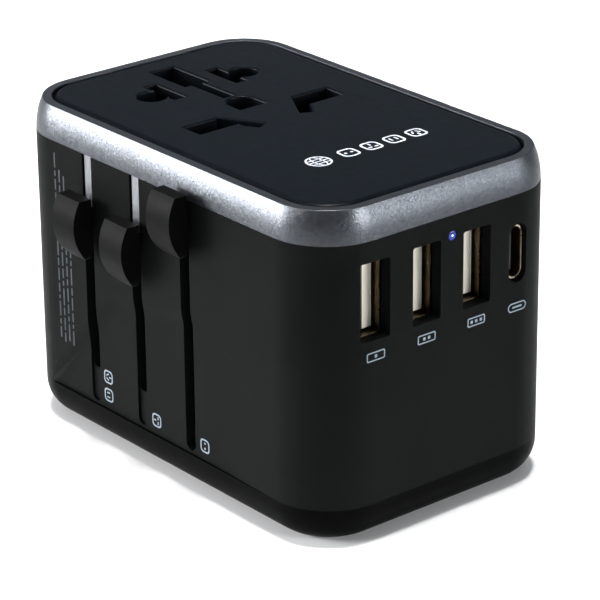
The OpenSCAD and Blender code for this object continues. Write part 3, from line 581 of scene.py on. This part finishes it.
def rating_mark():
    """Rows of short dashes where such adapters carry their ratings."""
    lengths = (1.9, 1.0, 2.6, 0.7, 1.6, 2.2, 1.3, 3.0, 0.9, 1.7, 2.4, 1.1)
    first_x, row_pitch, dash_width, gap = -27.0, 1.15, 0.34, 0.45
    bm = bmesh.new()
    # Each row starts at another of the lengths and runs from its low Z to about its high Z
    for row, (k, z, high) in enumerate(((0, 15.5, 46.5), (4, 15.0, 43.5), (7, 15.5, 44.0), (2, 15.0, 31.0))):
        while z < high:
            length = lengths[k % len(lengths)]
            place = on_front(first_x + row_pitch * row, z + length / 2)
            patch(bm, outline_round(length, dash_width, 0.12, 3), place)
            z += length + gap
            k += 1
    new_piece("rating_mark", bm, FAINT_INK)


def emblem():
    """Generic mark on the plate: a globe and a row of plug pictograms."""
    mark_x, globe_y, first_y, pitch = 19.2, -8.6, -2.6, 4.6
    r, rim, line, squeeze = 2.15, 0.3, 0.24, 0.45
    middle = r - 0.1
    bm = bmesh.new()
    place = on_plate(mark_x, globe_y)
    ring_strip(bm, outline_circle(r), outline_circle(r - rim), place)
    # Meridians: a narrow ellipse that meets the rim at its poles
    outer = [(squeeze * x, y) for x, y in outline_circle(middle)]
    inner = [((squeeze * middle - line) / middle * x, y * (r - rim) / middle)
             for x, y in outline_circle(middle)]
    ring_strip(bm, outer, inner, place)
    # Parallels
    for v in (-0.85, 0.0, 0.85):
        half = math.sqrt((r - 0.2) ** 2 - v * v)
        patch(bm, shifted(outline_round(2 * half, line, 0.05, 2), 0, v), place)
    for i, kind in enumerate(("eu", "uk", "us", "au")):
        pin_face(bm, kind, 3.2, on_plate(mark_x, first_y + pitch * i))
    new_piece("plate_emblem", bm, EMBLEM)


def port_contacts():
    """Plated strips on the tongues of the USB ports."""
    strip_length, strip_width, pitch, from_front = 6.4, 1.0, 2.5, 4.2
    for k in (1, 2, 3):
        low, high = box_mm(f"usb_a_tongue_{k}")
        bm = bmesh.new()
        for i in range(4):
            z = (low.z + high.z) / 2 + (i - 1.5) * pitch
            patch(bm, outline_round(strip_length, strip_width, 0.2, 2),
                  on_tongue(high.x - from_front, low.y, z), 0.05)
        new_piece(f"usb_a_contacts_{k}", bm, GOLD)


def port_rims():
    """Thin rings on the cut front edges of the ports' metal shells, in bright plating: a painted highlight.
    """
    outside, inside = 0.06, 0.5
    sunk, thick = 0.01, 0.03
    for node in (*USB_A_SHELLS, USB_C_SHELL):
        low, high = box_mm(node)
        centre, size = (low + high) / 2, high - low
        corner = size.y / 2 - 0.02 if node == USB_C_SHELL else 0.45
        bm = bmesh.new()
        ring_strip(bm, outline_round(size.y - outside, size.z - outside, corner, 8),
                   outline_round(size.y - inside, size.z - inside, corner - 0.22, 8),
                   on_end(centre.y, centre.z, high.x - sunk), thick)
        new_piece(node.replace("shell", "rim"), bm, RIM_PAINTED_HIGHLIGHT)


def dome(bm, centre, radius, height, rings=6, steps=32):
    """Low dome that bulges along +X from the centre; all in millimetres."""
    rows = []
    for i in range(rings):
        a = math.pi / 2 * i / rings
        ring = outline_circle(radius * math.cos(a), steps)
        rows.append([bm.verts.new((centre + Vector((height * math.sin(a), y, z))) * MM) for y, z in ring])
    tip = bm.verts.new((centre + Vector((height, 0, 0))) * MM)
    for a, b in zip(rows, rows[1:]):
        for j in range(steps):
            bm.faces.new((a[j], a[(j + 1) % steps], b[(j + 1) % steps], b[j]))
    for j in range(steps):
        bm.faces.new((rows[-1][j], rows[-1][(j + 1) % steps], tip))


def light_lens():
    """Domed end of the light pipe, with the bright spot of the diode seen through it."""
    low, high = box_mm("light_pipe")
    centre = Vector((high.x, (low.y + high.y) / 2, (low.z + high.z) / 2))
    lens_radius = (high.y - low.y) / 2 - 0.02
    for name, radius, height, material in (("light_lens", lens_radius, 0.06, LENS),
                                           ("light_spot", 0.24, 0.09, LIGHT)):
        bm = bmesh.new()
        dome(bm, centre, radius, height)
        new_piece(name, bm, material, smooth=True)


# ------------------------------------------------------------------ stage, light, camera

def stage():
    """Pale paper that the adapter stands on."""
    half = 3.0
    corners = ((-half, -half), (half, -half), (half, half), (-half, half))
    bm = bmesh.new()
    bm.faces.new([bm.verts.new((x, y, 0)) for x, y in corners])
    m = Nodes("floor_paper")
    m.colour(m.blend(m.spread(m.noise(40), 0, 1), (0.9, 0.9, 0.9), (0.93, 0.93, 0.93)))
    m.fixed(Roughness=0.9, Specular_IOR_Level=0.1)
    mesh_object("floor", bm, m.material)


def area_light(name, size, power, colour=(1, 1, 1), spread=180):
    light = bpy.data.lights.new(name, "AREA")
    light.shape = "RECTANGLE"
    light.size, light.size_y = size
    light.energy = power
    light.color = colour
    light.spread = math.radians(spread)
    o = bpy.data.objects.new(name, light)
    bpy.context.collection.objects.link(o)
    return o


def softbox(name, direction, distance, size, power, colour=(1, 1, 1)):
    """Area light at a distance in a direction from the adapter's middle, which it faces."""
    o = area_light(name, size, power, colour)
    direction = Vector(direction).normalized()
    o.location = Vector((0, 0, 0.03)) + direction * distance
    o.rotation_mode = "QUATERNION"
    o.rotation_quaternion = (-direction).to_track_quat("-Z", "Y")


def overhead_panel():
    """Narrow-beamed panel that whitens the paper around and behind the adapter."""
    along, across = Vector((-0.772, 0.635, 0)), Vector((0.635, 0.772, 0))
    away, height = 0.11, 0.35
    o = area_light("overhead_panel", (0.44, 0.25), 0.42, spread=16)
    down = Matrix((along, -across, Vector((0, 0, 1)))).transposed()
    o.matrix_world = Matrix.Translation(along * away + Vector((0, 0, height))) @ down.to_4x4()


def lights():
    """A softbox for each face or edge that shines in the photograph, and a panel for the paper."""
    softbox("key", (-0.66, -0.74, 0.2), 1.2, (0.6, 0.4), 22.0)
    softbox("trim_glint", (-0.15, -0.85, 0.5), 1.2, (0.28, 0.2), 3.4)
    softbox("top", (-0.1, -0.1, 1.0), 1.2, (1.6, 1.6), 6.0)
    softbox("end_front", (0.9, 0.36, 0.22), 1.2, (0.3, 0.25), 9.0)
    softbox("end_side", (0.66, 0.65, 0.08), 0.9, (0.3, 0.3), 1.1, (0.9, 0.95, 1.0))
    softbox("behind", (-0.70, 0.60, 0.2), 1.0, (0.9, 0.22), 0.2, (0.85, 0.92, 1.0))
    overhead_panel()
    world = bpy.data.worlds.new("studio")
    bpy.context.scene.world = world
    world.use_nodes = True
    background = world.node_tree.nodes["Background"]
    background.inputs["Color"].default_value = (0.75, 0.85, 1.0, 1)
    background.inputs["Strength"].default_value = 0.12


def camera():
    """Camera at the photograph's view: turned, raised and very slightly rolled."""
    azimuth, elevation, roll = (math.radians(a) for a in (50.55, 22.86, -0.55))
    aim_z, distance, to_right, to_top = 30, 498.27, 2.58, -5.83
    back = Vector((math.sin(azimuth) * math.cos(elevation), -math.cos(azimuth) * math.cos(elevation),
                   math.sin(elevation)))
    side = Vector((math.cos(azimuth), math.sin(azimuth), 0))
    up = back.cross(side)
    right = side * math.cos(roll) + up * math.sin(roll)
    top = up * math.cos(roll) - side * math.sin(roll)
    data = bpy.data.cameras.new("camera")
    data.lens = 185.7
    data.sensor_width = 36
    data.clip_start, data.clip_end = 0.01, 10
    o = bpy.data.objects.new("camera", data)
    bpy.context.collection.objects.link(o)
    place = Vector((0, 0, aim_z)) + back * distance + right * to_right + top * to_top
    turn = Matrix((right, top, back)).transposed().to_4x4()
    o.matrix_world = Matrix.Translation(place * MM) @ turn
    bpy.context.scene.camera = o


dress_nodes()
round_cad_pieces()
springs()
slot_marks()
port_marks()
rating_mark()
emblem()
port_contacts()
port_rims()
light_lens()
stage()
lights()
camera()
bpy.context.scene.view_settings.view_transform = "Standard"
